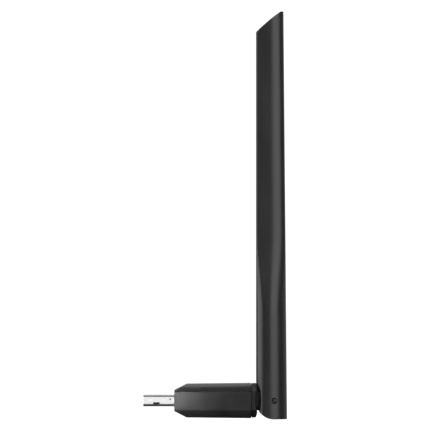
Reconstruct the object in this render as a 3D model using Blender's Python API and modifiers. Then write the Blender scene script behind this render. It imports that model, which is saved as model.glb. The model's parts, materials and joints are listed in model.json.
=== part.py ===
"""USB wireless adapter with a blade aerial that swivels and folds.

A plug shell and a circuit board sit in a two-piece housing.  A collar turns in
the housing's rear wall, about the long axis, and its tongue carries the aerial
on a cross pin.  Metres, +Z up.  The origin is where the plug's axis meets the
housing's front face; the plug points along -X and the aerial stands along +Z.
"""

import math

import bmesh
import bpy
from mathutils import Matrix, Vector

MM = 0.001
GAP = 0.2 * MM                      # clearance between neighbouring pieces

# Plug
PLUG_LENGTH = 12.4 * MM             # in front of the housing
PLUG_WIDTH = 12.0 * MM
PLUG_HEIGHT = 4.5 * MM
PLUG_WALL = 0.3 * MM
PLUG_CORNER = 0.7 * MM
PLUG_TAIL = 4.4 * MM                # inside the housing
CONTACT_PLACES = (-3.5 * MM, -1.0 * MM, 1.0 * MM, 3.5 * MM)
CONTACT_WIDTH = 1.0 * MM
CONTACT_THICKNESS = 0.2 * MM

# Housing
HOUSING_LENGTH = 30.7 * MM
HOUSING_HALF_WIDTH = 9.0 * MM
HOUSING_NARROWING = 1.0 * MM        # each side is drawn in this much at the front
SIDE_FACE_HALF_HEIGHT = 3.86 * MM
FRONT_HALF_HEIGHT = 6.68 * MM
REAR_HALF_HEIGHT = 7.0 * MM
TOP_FLAT_HALF_WIDTH = 4.6 * MM
SHOULDER_LEAN = 1.7 * MM            # how far the shoulder's tangent leans in
CHAMFER_START = 4.1 * MM            # height of the nose chamfer at the front face
CHAMFER_SLOPE = 0.5224
HOUSING_WALL = 1.5 * MM
REAR_WALL = 1.7 * MM

# Circuit board
BOARD_FRONT = 4.8 * MM
BOARD_REAR = 26.2 * MM
BOARD_HALF_WIDTH = 6.6 * MM
BOARD_TOP = -1.2 * MM
BOARD_THICKNESS = 1.0 * MM

# Swivel
COLLAR_REAR = 33.1 * MM
COLLAR_HALF_HEIGHT = 6.8 * MM
COLLAR_LIFT = 0.12 * MM             # the collar sits this much above the plug's axis
SPIGOT_RADIUS = 3.0 * MM
SPIGOT_START = 27.0 * MM
JOURNAL_RADIUS = 6.55 * MM          # the disc on the collar that turns in the rear wall
JOURNAL_START = 30.1 * MM
SPIGOT_CLEARANCE = 0.08 * MM
CABLE_BORE = 1.6 * MM
CLIP_PLACE = 27.7 * MM
CLIP_THICKNESS = 0.5 * MM
TONGUE_HALF_WIDTH = 2.8 * MM
TONGUE_RADIUS = 2.9 * MM
BLOCK_HALF_WIDTH = 5.2 * MM
BLOCK_CLEARANCE = 0.25 * MM
BLOCK_REAR = -5.6 * MM              # from the pin
BLOCK_TOP = 3.7 * MM
BLOCK_BOTTOM = -3.2 * MM
WEB_BOTTOM = -3.9 * MM

# Hinge pin
PIN_X = 39.9 * MM
PIN_RADIUS = 0.9 * MM
PIN_HALF_LENGTH = 7.9 * MM
PIN_RECESS_RADIUS = 1.2 * MM
BOSS_RADIUS = 4.0 * MM
BOSS_INNER = 3.5 * MM

# Aerial, measured from the pin
AERIAL_FRONT = -7.2 * MM            # plug-side edge
AERIAL_BACK_LOW = 5.2 * MM          # far edge at the foot
AERIAL_BACK_HIGH = 3.75 * MM        # far edge at the tip
AERIAL_FOOT = -7.4 * MM
AERIAL_TIP = 155.5 * MM
AERIAL_SHOULDER = 147.4 * MM        # where the slanted top meets the plug-side edge
FOOT_HALF_WIDTH = 9.0 * MM
BLADE_HALF_WIDTH = 7.0 * MM
FLARE_START = 34.0 * MM
FLARE_END = 66.0 * MM
AERIAL_WALL = 1.6 * MM
FORK_TOP = 7.4 * MM
CAVITY_FOOT = 9.2 * MM
FOLD_RADIUS = 7.4 * MM              # round corner of the foot, about the pin

# Radiator
RADIATOR_FOOT = 16.0 * MM
RADIATOR_TOP = 136.0 * MM
RADIATOR_HALF_WIDTH = 4.6 * MM
RADIATOR_THICKNESS = 0.8 * MM
FEED_HEIGHT = 74.0 * MM
COAX_RADIUS = 0.55 * MM

COLLECTION = "usb_wifi_adapter"
CUTTERS = "cutters"


# ---------------------------------------------------------------- scene and materials

def clear_scene():
    for obj in list(bpy.data.objects):
        bpy.data.objects.remove(obj, do_unlink=True)
    for name in (COLLECTION, CUTTERS):
        group = bpy.data.collections.new(name)
        bpy.context.scene.collection.children.link(group)


def material(name, colour, roughness, metallic=0.0):
    made = bpy.data.materials.new(name)
    made.use_nodes = True
    shader = made.node_tree.nodes["Principled BSDF"]
    shader.inputs["Base Color"].default_value = (*colour, 1.0)
    shader.inputs["Roughness"].default_value = roughness
    shader.inputs["Metallic"].default_value = metallic
    made.diffuse_color = (*colour, 1.0)
    return made


def make_materials():
    return {
        "black_plastic": material("black_plastic", (0.022, 0.022, 0.023), 0.42),
        "plug_steel": material("plug_steel", (0.86, 0.86, 0.87), 0.16, 1.0),
        "plug_plastic": material("plug_plastic", (0.012, 0.012, 0.013), 0.45),
        "gold": material("gold", (0.83, 0.62, 0.28), 0.22, 1.0),
        "board_green": material("board_green", (0.02, 0.11, 0.05), 0.35),
        "tin": material("tin", (0.62, 0.63, 0.65), 0.32, 1.0),
        "chip_black": material("chip_black", (0.03, 0.03, 0.032), 0.5),
        "ceramic": material("ceramic", (0.36, 0.27, 0.18), 0.45),
        "spring_steel": material("spring_steel", (0.55, 0.55, 0.57), 0.3, 1.0),
        "cable_black": material("cable_black", (0.025, 0.025, 0.026), 0.4),
        "copper": material("copper", (0.72, 0.38, 0.22), 0.3, 1.0),
        "foam": material("foam", (0.09, 0.09, 0.1), 0.95),
        "nylon": material("nylon", (0.7, 0.69, 0.64), 0.5),
    }


# ---------------------------------------------------------------- modelling tools

def add_part(name, mesh, finish):
    obj = bpy.data.objects.new(name, mesh)
    bpy.data.collections[COLLECTION].objects.link(obj)
    obj.data.materials.append(finish)
    return obj


def add_tool(name, mesh):
    """A solid that cuts or joins another one, and isn't a part itself."""
    obj = bpy.data.objects.new(name, mesh)
    bpy.data.collections[CUTTERS].objects.link(obj)
    obj.hide_render = True
    obj.display_type = "WIRE"
    return obj


def combine(target, tool, operation="DIFFERENCE"):
    step = target.modifiers.new(f"{operation.lower()} {tool.name}", "BOOLEAN")
    step.operation = operation
    step.solver = "EXACT"
    step.object = tool


def finish_mesh(name, work):
    bmesh.ops.recalc_face_normals(work, faces=work.faces)
    mesh = bpy.data.meshes.new(name)
    work.to_mesh(mesh)
    work.free()
    return mesh


def box(name, low, high):
    work = bmesh.new()
    size = [b - a for a, b in zip(low, high)]
    centre = [(a + b) / 2 for a, b in zip(low, high)]
    place = Matrix.Translation(centre) @ Matrix.Diagonal((*size, 1.0))
    bmesh.ops.create_cube(work, size=1.0, matrix=place)
    return finish_mesh(name, work)


AXIS_TURNS = {
    "X": Matrix.Rotation(math.pi / 2, 4, "Y"),
    "Y": Matrix.Rotation(math.pi / 2, 4, "X"),
    "Z": Matrix.Identity(4),
}


def cylinder(name, centre, axis, radius, length, sides=48):
    work = bmesh.new()
    place = Matrix.Translation(centre) @ AXIS_TURNS[axis]
    bmesh.ops.create_cone(work, cap_ends=True, segments=sides, radius1=radius,
                          radius2=radius, depth=length, matrix=place)
    return finish_mesh(name, work)


def ring(name, centre, axis, inner, outer, length, sides=48):
    """A washer: a rectangle turned about its axis by a Screw modifier."""
    work = bmesh.new()
    corners = [(outer, length / 2), (outer, -length / 2), (inner, -length / 2), (inner, length / 2)]
    rim = [work.verts.new((r, 0.0, h)) for r, h in corners]
    for index, vert in enumerate(rim):
        work.edges.new((vert, rim[(index + 1) % len(rim)]))
    profile = bpy.data.meshes.new(name)
    work.to_mesh(profile)
    work.free()
    turned = bpy.data.objects.new(name, profile)
    bpy.context.scene.collection.objects.link(turned)
    screw = turned.modifiers.new("turn", "SCREW")
    screw.steps = sides
    screw.render_steps = sides
    screw.use_merge_vertices = True
    screw.merge_threshold = 0.000001
    return taken_mesh(turned, Matrix.Translation(centre) @ AXIS_TURNS[axis])


def taken_mesh(source, place):
    """The evaluated mesh of a helper object, welded and put in place; the helper goes."""
    bpy.context.view_layer.update()
    view = source.evaluated_get(bpy.context.evaluated_depsgraph_get())
    mesh = bpy.data.meshes.new_from_object(view)
    work = bmesh.new()
    work.from_mesh(mesh)
    bmesh.ops.transform(work, matrix=place, verts=work.verts)
    bmesh.ops.remove_doubles(work, verts=work.verts, dist=0.000001)
    name = source.name
    bpy.data.meshes.remove(mesh)
    bpy.data.objects.remove(source, do_unlink=True)
    return finish_mesh(name, work)


OUTLINE_PLANES = {
    "XZ": Matrix(((1, 0, 0, 0), (0, 0, -1, 0), (0, 1, 0, 0), (0, 0, 0, 1))),
    "YZ": Matrix(((0, 0, 1, 0), (1, 0, 0, 0), (0, 1, 0, 0), (0, 0, 0, 1))),
}


def outline(name, points, plane, start, end):
    """A flat outline in a plane, as thick as from start to end across it."""
    curve = bpy.data.curves.new(name, "CURVE")
    curve.dimensions = "2D"
    curve.fill_mode = "BOTH"
    curve.extrude = abs(end - start) / 2
    spline = curve.splines.new("POLY")
    spline.points.add(len(points) - 1)
    for point, (a, b) in zip(spline.points, points):
        point.co = (a, b, 0.0, 1.0)
    spline.use_cyclic_u = True
    flat = bpy.data.objects.new(name, curve)
    bpy.context.scene.collection.objects.link(flat)
    across = Vector((0, 1, 0)) if plane == "XZ" else Vector((1, 0, 0))
    return taken_mesh(flat, Matrix.Translation(across * (start + end) / 2) @ OUTLINE_PLANES[plane])


def loft(name, rings):
    """A solid through rings of equally many points, with a face across each end."""
    work = bmesh.new()
    rows = [[work.verts.new(point) for point in points] for points in rings]
    count = len(rows[0])
    for low, high in zip(rows, rows[1:]):
        for index in range(count):
            after = (index + 1) % count
            work.faces.new((low[index], low[after], high[after], high[index]))
    work.faces.new(list(reversed(rows[0])))
    work.faces.new(rows[-1])
    return finish_mesh(name, work)


def wire(name, points, radius):
    """A round cable through the given points, with flat ends."""
    curve = bpy.data.curves.new(name, "CURVE")
    curve.dimensions = "3D"
    curve.bevel_depth = radius
    curve.bevel_resolution = 2
    curve.use_fill_caps = True
    spline = curve.splines.new("POLY")
    spline.points.add(len(points) - 1)
    for point, place in zip(spline.points, points):
        point.co = (*place, 1.0)
    helper = bpy.data.objects.new(name, curve)
    bpy.context.scene.collection.objects.link(helper)
    return taken_mesh(helper, Matrix.Identity(4))


def arc(centre, radius, start, end, steps):
    """Points on an arc; the angles are in degrees."""
    turns = [math.radians(start + (end - start) * k / steps) for k in range(steps + 1)]
    return [(centre[0] + radius * math.cos(t), centre[1] + radius * math.sin(t)) for t in turns]


def rounded_rectangle(half_width, half_height, corner, steps=5):
    points = []
    for sign_a, sign_b, start in ((1, 1, 0), (-1, 1, 90), (-1, -1, 180), (1, -1, 270)):
        centre = (sign_a * (half_width - corner), sign_b * (half_height - corner))
        points += arc(centre, corner, start, start + 90, steps)
    return points


def round_off(obj, width, segments=2):
    bevel = obj.modifiers.new("round edges", "BEVEL")
    bevel.width = width
    bevel.segments = segments
    bevel.limit_method = "ANGLE"


# ---------------------------------------------------------------- plug

def make_plug(finish):
    make_plug_shell(finish)
    make_plug_insulator(finish)
    for number, place in enumerate(CONTACT_PLACES, start=1):
        make_contact(number, place, finish)


def make_plug_shell(finish):
    start, end = -PLUG_LENGTH, PLUG_TAIL
    outer = rounded_rectangle(PLUG_WIDTH / 2, PLUG_HEIGHT / 2, PLUG_CORNER)
    shell = add_part("usb_shell", outline("usb_shell", outer, "YZ", start, end),
                     finish["plug_steel"])
    inner = rounded_rectangle(PLUG_WIDTH / 2 - PLUG_WALL, PLUG_HEIGHT / 2 - PLUG_WALL,
                              PLUG_CORNER - PLUG_WALL)
    bore = outline("shell_bore", inner, "YZ", start - 1 * MM, end + 1 * MM)
    combine(shell, add_tool("shell_bore", bore))
    # Latch windows through the broad faces
    for side in (-1, 1):
        low = (-7.7 * MM, side * 2.95 * MM - 1.15 * MM, -PLUG_HEIGHT)
        high = (-5.3 * MM, side * 2.95 * MM + 1.15 * MM, PLUG_HEIGHT)
        combine(shell, add_tool(f"latch_window_{side}", box("latch_window", low, high)))
    # A slot and a pin-hole through the narrow faces
    slot = box("side_slot", (-8.4 * MM, -PLUG_WIDTH, -1.5 * MM), (-5.8 * MM, PLUG_WIDTH, -0.6 * MM))
    combine(shell, add_tool("side_slot", slot))
    hole = cylinder("side_hole", (-1.6 * MM, 0, 0.64 * MM), "Y", 0.3 * MM, 2 * PLUG_WIDTH, 16)
    combine(shell, add_tool("side_hole", hole))


def make_plug_insulator(finish):
    half_width = PLUG_WIDTH / 2 - PLUG_WALL - 0.15 * MM
    depth = PLUG_HEIGHT / 2 - PLUG_WALL - 0.15 * MM
    rear = PLUG_TAIL - 0.1 * MM
    tongue = box("usb_insulator", (-11.9 * MM, -half_width, -depth), (rear, half_width, 0.0))
    insulator = add_part("usb_insulator", tongue, finish["plug_plastic"])
    block = box("insulator_block", (-2.2 * MM, -half_width, -1.0 * MM), (rear, half_width, depth))
    combine(insulator, add_tool("insulator_block", block), "UNION")
    for number, place in enumerate(CONTACT_PLACES, start=1):
        low = (-13 * MM, place - 0.7 * MM, -0.12 * MM)
        high = (PLUG_TAIL + 1 * MM, place + 0.7 * MM, 0.6 * MM)
        combine(insulator, add_tool(f"contact_channel_{number}", box("channel", low, high)))


def make_contact(number, place, finish):
    """A sprung strip on the tongue, stepping down to the board behind the plug."""
    inner = number in (2, 3)
    front = -10.0 * MM if inner else -11.2 * MM
    run = 0.05 * MM
    foot = BOARD_TOP + 0.12 * MM
    thick = CONTACT_THICKNESS
    bend, knee, toe = 4.75 * MM, 5.15 * MM, 6.7 * MM
    points = [(front, run), (bend - thick, run), (knee - thick, foot), (toe, foot),
              (toe, foot + thick), (knee, foot + thick), (bend, run + thick), (front, run + thick)]
    strip = outline(f"usb_contact_{number}", points, "XZ",
                    place - CONTACT_WIDTH / 2, place + CONTACT_WIDTH / 2)
    add_part(f"usb_contact_{number}", strip, finish["gold"])


# ---------------------------------------------------------------- housing

def shoulder(half_width, half_height, side, steps=6):
    """The curve from the side face's upper edge to the flat top, as (y, z) points."""
    start = Vector((half_width, side))
    flat = TOP_FLAT_HALF_WIDTH - (HOUSING_HALF_WIDTH - half_width)
    end = Vector((flat, half_height))
    bend = Vector((half_width - SHOULDER_LEAN, half_height))
    points = []
    for k in range(steps + 1):
        t = k / steps
        points.append((1 - t) ** 2 * start + 2 * t * (1 - t) * bend + t * t * end)
    return points


def housing_section(x, half_width, half_height, side, lift=0.0):
    """A closed ring: flat sides and top with curved shoulders between them."""
    quarter = shoulder(half_width, half_height, side)
    right = [(p.x, -p.y) for p in reversed(quarter)] + [(p.x, p.y) for p in quarter]
    left = [(-y, z) for y, z in reversed(right)]
    return [(x, y, z + lift) for y, z in right + left]


def half_height_at(x):
    share = x / HOUSING_LENGTH
    return FRONT_HALF_HEIGHT + (REAR_HALF_HEIGHT - FRONT_HALF_HEIGHT) * share


def half_width_at(x):
    """The sides draw in towards the plug on a gentle curve."""
    share = 1 - x / HOUSING_LENGTH
    return HOUSING_HALF_WIDTH - HOUSING_NARROWING * share * share


def housing_block(name, start, end, inset):
    """The housing's outer form, or with an inset its hollow."""
    steps = 8
    rings = []
    for k in range(steps + 1):
        x = start + (end - start) * k / steps
        side = SIDE_FACE_HALF_HEIGHT - inset / 2
        rings.append(housing_section(x, half_width_at(x) - inset, half_height_at(x) - inset, side))
    block = add_tool(name, loft(name, rings))
    for sign, which in ((1, "top"), (-1, "bottom")):
        line = [(x, sign * (CHAMFER_START - inset + x * CHAMFER_SLOPE)) for x in (-2 * MM, 8 * MM)]
        corner = [(8 * MM, sign * 14 * MM), (-2 * MM, sign * 14 * MM)]
        wedge = outline(f"{name}_{which}_wedge", line + corner, "XZ", -12 * MM, 12 * MM)
        combine(block, add_tool(f"{name}_{which}_wedge", wedge))
    return block


def make_housing(finish):
    outer = housing_block("housing_form", 0.0, HOUSING_LENGTH, 0.0)
    hollow = housing_block("housing_hollow", HOUSING_WALL, HOUSING_LENGTH - REAR_WALL, HOUSING_WALL)
    make_housing_top(outer, hollow, finish)
    make_housing_bottom(outer, hollow, finish)


def journal_seat(which):
    """The round recess in the rear wall that the collar's journal turns in."""
    start = JOURNAL_START - GAP
    seat = cylinder(f"{which}_journal_seat", ((start + HOUSING_LENGTH) / 2 + 1 * MM, 0, 0), "X",
                    JOURNAL_RADIUS + 0.12 * MM, HOUSING_LENGTH - start + 2 * MM, 80)
    return add_tool(f"{which}_journal_seat", seat)


def make_housing_top(outer, hollow, finish):
    low = (-1 * MM, -10 * MM, SIDE_FACE_HALF_HEIGHT + GAP / 2)
    high = (HOUSING_LENGTH + 1 * MM, 10 * MM, 8 * MM)
    cover = add_part("housing_top", box("housing_top", low, high), finish["black_plastic"])
    combine(cover, outer, "INTERSECT")
    combine(cover, hollow)
    combine(cover, journal_seat("cover"))
    # A lip that drops inside the lower shell's wall
    edge = HOUSING_WALL + GAP
    shoulder_room = 0.8 * MM
    width = half_width_at(HOUSING_WALL) - edge - shoulder_room
    rim_low = SIDE_FACE_HALF_HEIGHT - 0.8 * MM
    rim_high = SIDE_FACE_HALF_HEIGHT + 0.9 * MM
    lip_front, lip_rear = edge + 1 * MM, CLIP_PLACE - 0.7 * MM
    lip = add_tool("cover_lip", box("cover_lip", (lip_front, -width, rim_low),
                                    (lip_rear, width, rim_high)))
    wall = 0.9 * MM
    core = box("lip_core", (lip_front + wall, -width + wall, rim_low - 1 * MM),
               (lip_rear - wall, width - wall, rim_high + 1 * MM))
    combine(lip, add_tool("lip_core", core))
    combine(cover, lip, "UNION")


def make_housing_bottom(outer, hollow, finish):
    low = (-1 * MM, -10 * MM, -8 * MM)
    high = (HOUSING_LENGTH + 1 * MM, 10 * MM, SIDE_FACE_HALF_HEIGHT - GAP / 2)
    tub = add_part("housing_bottom", box("housing_bottom", low, high), finish["black_plastic"])
    combine(tub, outer, "INTERSECT")
    combine(tub, hollow)
    mouth = rounded_rectangle(PLUG_WIDTH / 2 + GAP, PLUG_HEIGHT / 2 + GAP, PLUG_CORNER + GAP)
    opening = outline("plug_opening", mouth, "YZ", -1 * MM, HOUSING_WALL + 1 * MM)
    combine(tub, add_tool("plug_opening", opening))
    bore = cylinder("swivel_bore", (HOUSING_LENGTH - 1 * MM, 0, 0), "X",
                    SPIGOT_RADIUS + SPIGOT_CLEARANCE, 6 * MM)
    combine(tub, add_tool("swivel_bore", bore))
    combine(tub, journal_seat("tub"))
    # Two rails that carry the circuit board
    for side in (-1, 1):
        middle = side * 4.9 * MM
        rail = box("board_rail", (6 * MM, middle - 0.5 * MM, -6.0 * MM),
                   (25 * MM, middle + 0.5 * MM, BOARD_TOP - BOARD_THICKNESS - GAP))
        combine(tub, add_tool(f"board_rail_{side}", rail), "UNION")


# ---------------------------------------------------------------- circuit board

def on_board(name, centre, size, finish):
    """A component standing on the board: its middle in x and y, and its size."""
    foot = BOARD_TOP + 0.12 * MM
    low = (centre[0] - size[0] / 2, centre[1] - size[1] / 2, foot)
    high = (centre[0] + size[0] / 2, centre[1] + size[1] / 2, foot + size[2])
    return add_part(name, box(name, low, high), finish)


def make_board(finish):
    low = (BOARD_FRONT + 0.5 * MM, -BOARD_HALF_WIDTH, BOARD_TOP - BOARD_THICKNESS)
    high = (BOARD_REAR, BOARD_HALF_WIDTH, BOARD_TOP)
    add_part("main_board", box("main_board", low, high), finish["board_green"])
    make_shield(finish)
    on_board("wifi_chip", (13 * MM, 0), (6 * MM, 6 * MM, 0.8 * MM), finish["chip_black"])
    on_board("crystal", (21.2 * MM, -4.6 * MM), (2.5 * MM, 2.0 * MM, 0.6 * MM), finish["tin"])
    on_board("power_inductor", (22.6 * MM, 4.6 * MM), (2.8 * MM, 2.8 * MM, 1.4 * MM),
             finish["chip_black"])
    on_board("voltage_regulator", (7.9 * MM, 5.0 * MM), (1.4 * MM, 1.6 * MM, 0.8 * MM),
             finish["chip_black"])
    on_board("input_capacitor", (7.9 * MM, -5.0 * MM), (1.2 * MM, 2.0 * MM, 1.0 * MM),
             finish["ceramic"])
    make_coax_joint(finish)


def make_shield(finish):
    """A pressed can over the radio chip, open towards the board."""
    low = (9.0 * MM, -5.2 * MM, BOARD_TOP + 0.12 * MM)
    high = (19.4 * MM, 5.2 * MM, BOARD_TOP + 1.9 * MM)
    can = add_part("rf_shield", box("rf_shield", low, high), finish["tin"])
    wall = 0.2 * MM
    inside = box("shield_inside", (low[0] + wall, low[1] + wall, low[2] - 1 * MM),
                 (high[0] - wall, high[1] - wall, high[2] - wall))
    combine(can, add_tool("shield_inside", inside))


def make_coax_joint(finish):
    """The board's aerial socket, and the plug pressed on it."""
    place = Vector((22.2 * MM, 0, BOARD_TOP + 0.12 * MM))
    on_board("coax_jack", (place.x, 0), (2.6 * MM, 2.6 * MM, 0.5 * MM), finish["gold"])
    middle = place + Vector((0, 0, 1.35 * MM))
    add_part("coax_plug", cylinder("coax_plug", middle, "Z", 1.1 * MM, 1.2 * MM, 32), finish["gold"])


# ---------------------------------------------------------------- swivel

def make_swivel(finish, parts):
    collar = make_collar(finish)
    clip = ring("swivel_clip", (CLIP_PLACE + CLIP_THICKNESS / 2, 0, 0), "X",
                SPIGOT_RADIUS - 0.35 * MM, 4.4 * MM, CLIP_THICKNESS - 0.1 * MM)
    clip = add_part("swivel_clip", clip, finish["spring_steel"])
    mouth = box("clip_mouth", (CLIP_PLACE - 1 * MM, -1.6 * MM, -6 * MM),
                (CLIP_PLACE + 2 * MM, 1.6 * MM, 0))
    combine(clip, add_tool("clip_mouth", mouth))
    washer = ring("swivel_washer", (28.6 * MM, 0, 0), "X", SPIGOT_RADIUS + 0.1 * MM, 4.4 * MM,
                  0.5 * MM)
    washer = add_part("swivel_washer", washer, finish["nylon"])
    lead = add_part("coax_swivel", wire("coax_swivel", swivel_lead_route(), COAX_RADIUS),
                    finish["cable_black"])
    parts.extend([collar, clip, washer, lead])


def make_collar(finish):
    start = HOUSING_LENGTH + GAP
    ring_points = collar_outline()
    collar = add_part("swivel_collar", outline("swivel_collar", ring_points, "YZ",
                                               start, COLLAR_REAR), finish["black_plastic"])
    trim_collar(collar)
    block = box("collar_block", (start + 0.5 * MM, -BLOCK_HALF_WIDTH, BLOCK_BOTTOM),
                (PIN_X + BLOCK_REAR, BLOCK_HALF_WIDTH, BLOCK_TOP))
    combine(collar, add_tool("collar_block", block), "UNION")
    combine(collar, add_tool("tongue", make_tongue()), "UNION")
    web = outline("web", web_outline(), "XZ", -TONGUE_HALF_WIDTH, TONGUE_HALF_WIDTH)
    combine(collar, add_tool("web", web), "UNION")
    journal = cylinder("journal", ((JOURNAL_START + start) / 2 + 0.3 * MM, 0, 0), "X",
                       JOURNAL_RADIUS, start - JOURNAL_START + 0.6 * MM, 80)
    combine(collar, add_tool("journal", journal), "UNION")
    spigot = cylinder("spigot", ((SPIGOT_START + start) / 2 + 0.5 * MM, 0, 0), "X",
                      SPIGOT_RADIUS, start - SPIGOT_START + 1 * MM)
    combine(collar, add_tool("spigot", spigot), "UNION")
    groove = ring("clip_groove", (CLIP_PLACE + CLIP_THICKNESS / 2, 0, 0), "X",
                  SPIGOT_RADIUS - 0.5 * MM, SPIGOT_RADIUS + 1 * MM, CLIP_THICKNESS + 0.1 * MM, 46)
    combine(collar, add_tool("clip_groove", groove))
    bore_end = 36.35 * MM
    bore = cylinder("cable_bore", ((SPIGOT_START - 1 * MM + bore_end) / 2, 0, 0), "X",
                    CABLE_BORE, bore_end - SPIGOT_START + 1 * MM, 32)
    combine(collar, add_tool("cable_bore", bore))
    outlet = cylinder("cable_outlet", (35.3 * MM, 0, 2.8 * MM), "Z", 0.9 * MM, 5 * MM, 28)
    combine(collar, add_tool("cable_outlet", outlet))
    pin_bore = cylinder("tongue_bore", (PIN_X, 0, 0), "Y", PIN_RADIUS + 0.06 * MM, 20 * MM)
    combine(collar, add_tool("tongue_bore", pin_bore))
    return collar


def collar_outline():
    """Straight sides with 45 degree chamfers to the flat top and bottom."""
    half_width = HOUSING_HALF_WIDTH - 0.1 * MM
    side = SIDE_FACE_HALF_HEIGHT - COLLAR_LIFT
    top = half_width - (COLLAR_HALF_HEIGHT - side)
    quarter = [(half_width, side), (top, COLLAR_HALF_HEIGHT)]
    upper = quarter + [(-y, z) for y, z in reversed(quarter)]
    lower = [(y, -z) for y, z in reversed(upper)]
    return [(y, z + COLLAR_LIFT) for y, z in upper + lower]


def web_outline():
    """The web along the tongue, which reaches in behind the edge of the aerial's notch."""
    edge = [(-7.4, 6.9), (-6.6, 6.8), (-5.5, 5.8), (-4.9, 4.4), (-4.5, 2.6), (-4.2, 0.0)]
    points = [(PIN_X + x * MM, z * MM) for x, z in edge + [(-4.2, -2.0)]]
    return points + [(PIN_X + BLOCK_REAR, WEB_BOTTOM), (PIN_X - 7.4 * MM, WEB_BOTTOM)]


def trim_collar(collar):
    """Rear face: room for the aerial's foot as it folds, and a leaning lower edge."""
    sweep = cylinder("foot_sweep", (PIN_X, 0, 0), "Y", FOLD_RADIUS + 0.5 * MM, 24 * MM, 96)
    combine(collar, add_tool("foot_sweep", sweep))
    seat = PIN_X + AERIAL_FOOT - 0.25 * MM
    pocket = outline("foot_pocket", pocket_outline(), "YZ", seat, PIN_X)
    combine(collar, add_tool("foot_pocket", pocket))
    corner = [(32.4 * MM, -7.2 * MM), (33.3 * MM, -4.4 * MM), (36 * MM, -4.4 * MM),
              (36 * MM, -7.2 * MM)]
    lean = outline("lower_lean", corner, "XZ", -12 * MM, 12 * MM)
    combine(collar, add_tool("lower_lean", lean))
    upper = box("upper_step", (COLLAR_REAR - 0.25 * MM, -12 * MM, SIDE_FACE_HALF_HEIGHT),
                (PIN_X, 12 * MM, 9 * MM))
    combine(collar, add_tool("upper_step", upper))


def pocket_outline():
    """What the aerial's foot passes through at the collar's rear face as it folds."""
    steps = 12
    room = 0.3 * MM
    plane = PIN_X - COLLAR_REAR
    right = []
    for k in range(steps + 1):
        reach = AERIAL_BACK_LOW * k / steps
        drop = math.sqrt(reach ** 2 + AERIAL_FOOT ** 2 - plane ** 2)
        right.append((foot_width_at(reach) + room, -drop))
    return [(-right[0][0], 0), (right[0][0], 0)] + right + [(-y, z) for y, z in reversed(right)]


def make_tongue():
    start = PIN_X + BLOCK_REAR - 1 * MM
    end = arc((PIN_X, 0), TONGUE_RADIUS, -90, 90, 16)
    points = [(start, -TONGUE_RADIUS)] + end + [(start, TONGUE_RADIUS)]
    return outline("tongue", points, "XZ", -TONGUE_HALF_WIDTH, TONGUE_HALF_WIDTH)


def swivel_lead_route():
    """Along the spigot's bore, then a quarter turn up through the tongue's top."""
    bend = 1.6 * MM
    corner = 35.3 * MM
    points = [(x * MM, 0, 0) for x in (26.6, 29.0, 31.5)]
    turn = arc((corner - bend, bend), bend, -90, 0, 6)
    points += [(x, 0, z) for x, z in turn]
    return points + [(corner, 0, 2.5 * MM), (corner, 0, 3.6 * MM)]


def make_body_lead(finish):
    """From the board's aerial plug, back and down to the swivel's bore."""
    start = Vector((23.5 * MM, 0, 0.27 * MM))
    end = Vector((26.3 * MM, 0, 0))
    points = []
    for k in range(7):
        t = k / 6
        ease = t * t * (3 - 2 * t)
        points.append(start.lerp(end, t) + Vector((0, 0, (end.z - start.z) * (ease - t))))
    add_part("coax_body", wire("coax_body", points, COAX_RADIUS), finish["cable_black"])


# ---------------------------------------------------------------- aerial

def aerial_blend(z):
    """0 at the wide foot, 1 in the slim blade."""
    t = min(max((z - FLARE_START) / (FLARE_END - FLARE_START), 0.0), 1.0)
    return t * t * (3 - 2 * t)


def aerial_dimensions(z, inset=0.0):
    """Front x, back x, half width, and the places where the flat side starts and ends."""
    share = aerial_blend(z)
    rise = (z - AERIAL_FOOT) / (AERIAL_TIP - AERIAL_FOOT)
    back = AERIAL_BACK_LOW + (AERIAL_BACK_HIGH - AERIAL_BACK_LOW) * rise
    half_width = FOOT_HALF_WIDTH + (BLADE_HALF_WIDTH - FOOT_HALF_WIDTH) * share
    front_curve = (4.0 - 3.1 * share) * MM
    front_flat = (4.5 + 1.7 * share) * MM
    back_start = (-2.5 + 0.5 * share) * MM
    back_flat = (1.6 + 1.6 * share) * MM
    return {
        "front": AERIAL_FRONT + inset,
        "back": back - inset,
        "half_width": half_width - inset,
        "front_end": AERIAL_FRONT + max(front_curve, 1.2 * inset),
        "front_flat": min(front_flat, half_width - inset - 0.2 * MM),
        "back_start": back_start,
        "back_flat": max(back_flat - inset / 2, 0.3 * MM),
    }


def aerial_half_ring(z, inset=0.0, steps=6):
    """Half the section (y > 0), from the plug-side edge round to the far edge."""
    d = aerial_dimensions(z, inset)
    points = []
    reach_x = d["front_end"] - d["front"]
    reach_y = d["half_width"] - d["front_flat"]
    for k in range(steps + 1):
        turn = math.pi / 2 * k / steps
        points.append((d["front_end"] - reach_x * math.cos(turn),
                       d["front_flat"] + reach_y * math.sin(turn)))
    reach_x = d["back"] - d["back_start"]
    reach_y = d["half_width"] - d["back_flat"]
    for k in range(steps + 3):
        turn = math.pi / 2 * k / (steps + 2)
        points.append((d["back_start"] + reach_x * math.sin(turn),
                       d["back_flat"] + reach_y * math.cos(turn)))
    return points


def foot_width_at(x):
    """Half width of the aerial's outside at its foot, at a distance x behind the pin."""
    d = aerial_dimensions(AERIAL_FOOT)
    share = min((x - d["back_start"]) / (d["back"] - d["back_start"]), 1.0)
    return d["back_flat"] + (d["half_width"] - d["back_flat"]) * math.sqrt(1 - share * share)


def aerial_ring(z, inset=0.0):
    half = aerial_half_ring(z, inset)
    whole = half + [(x, -y) for x, y in reversed(half)]
    return [(PIN_X + x, y, z) for x, y in whole]


def aerial_heights(low, high):
    """Rings at both ends of the straight runs, and every 4 mm through the flare."""
    flare = [FLARE_START + 4 * MM * k for k in range(9)]
    inside = [z for z in flare if low < z < high]
    return [low] + inside + [high]


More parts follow.
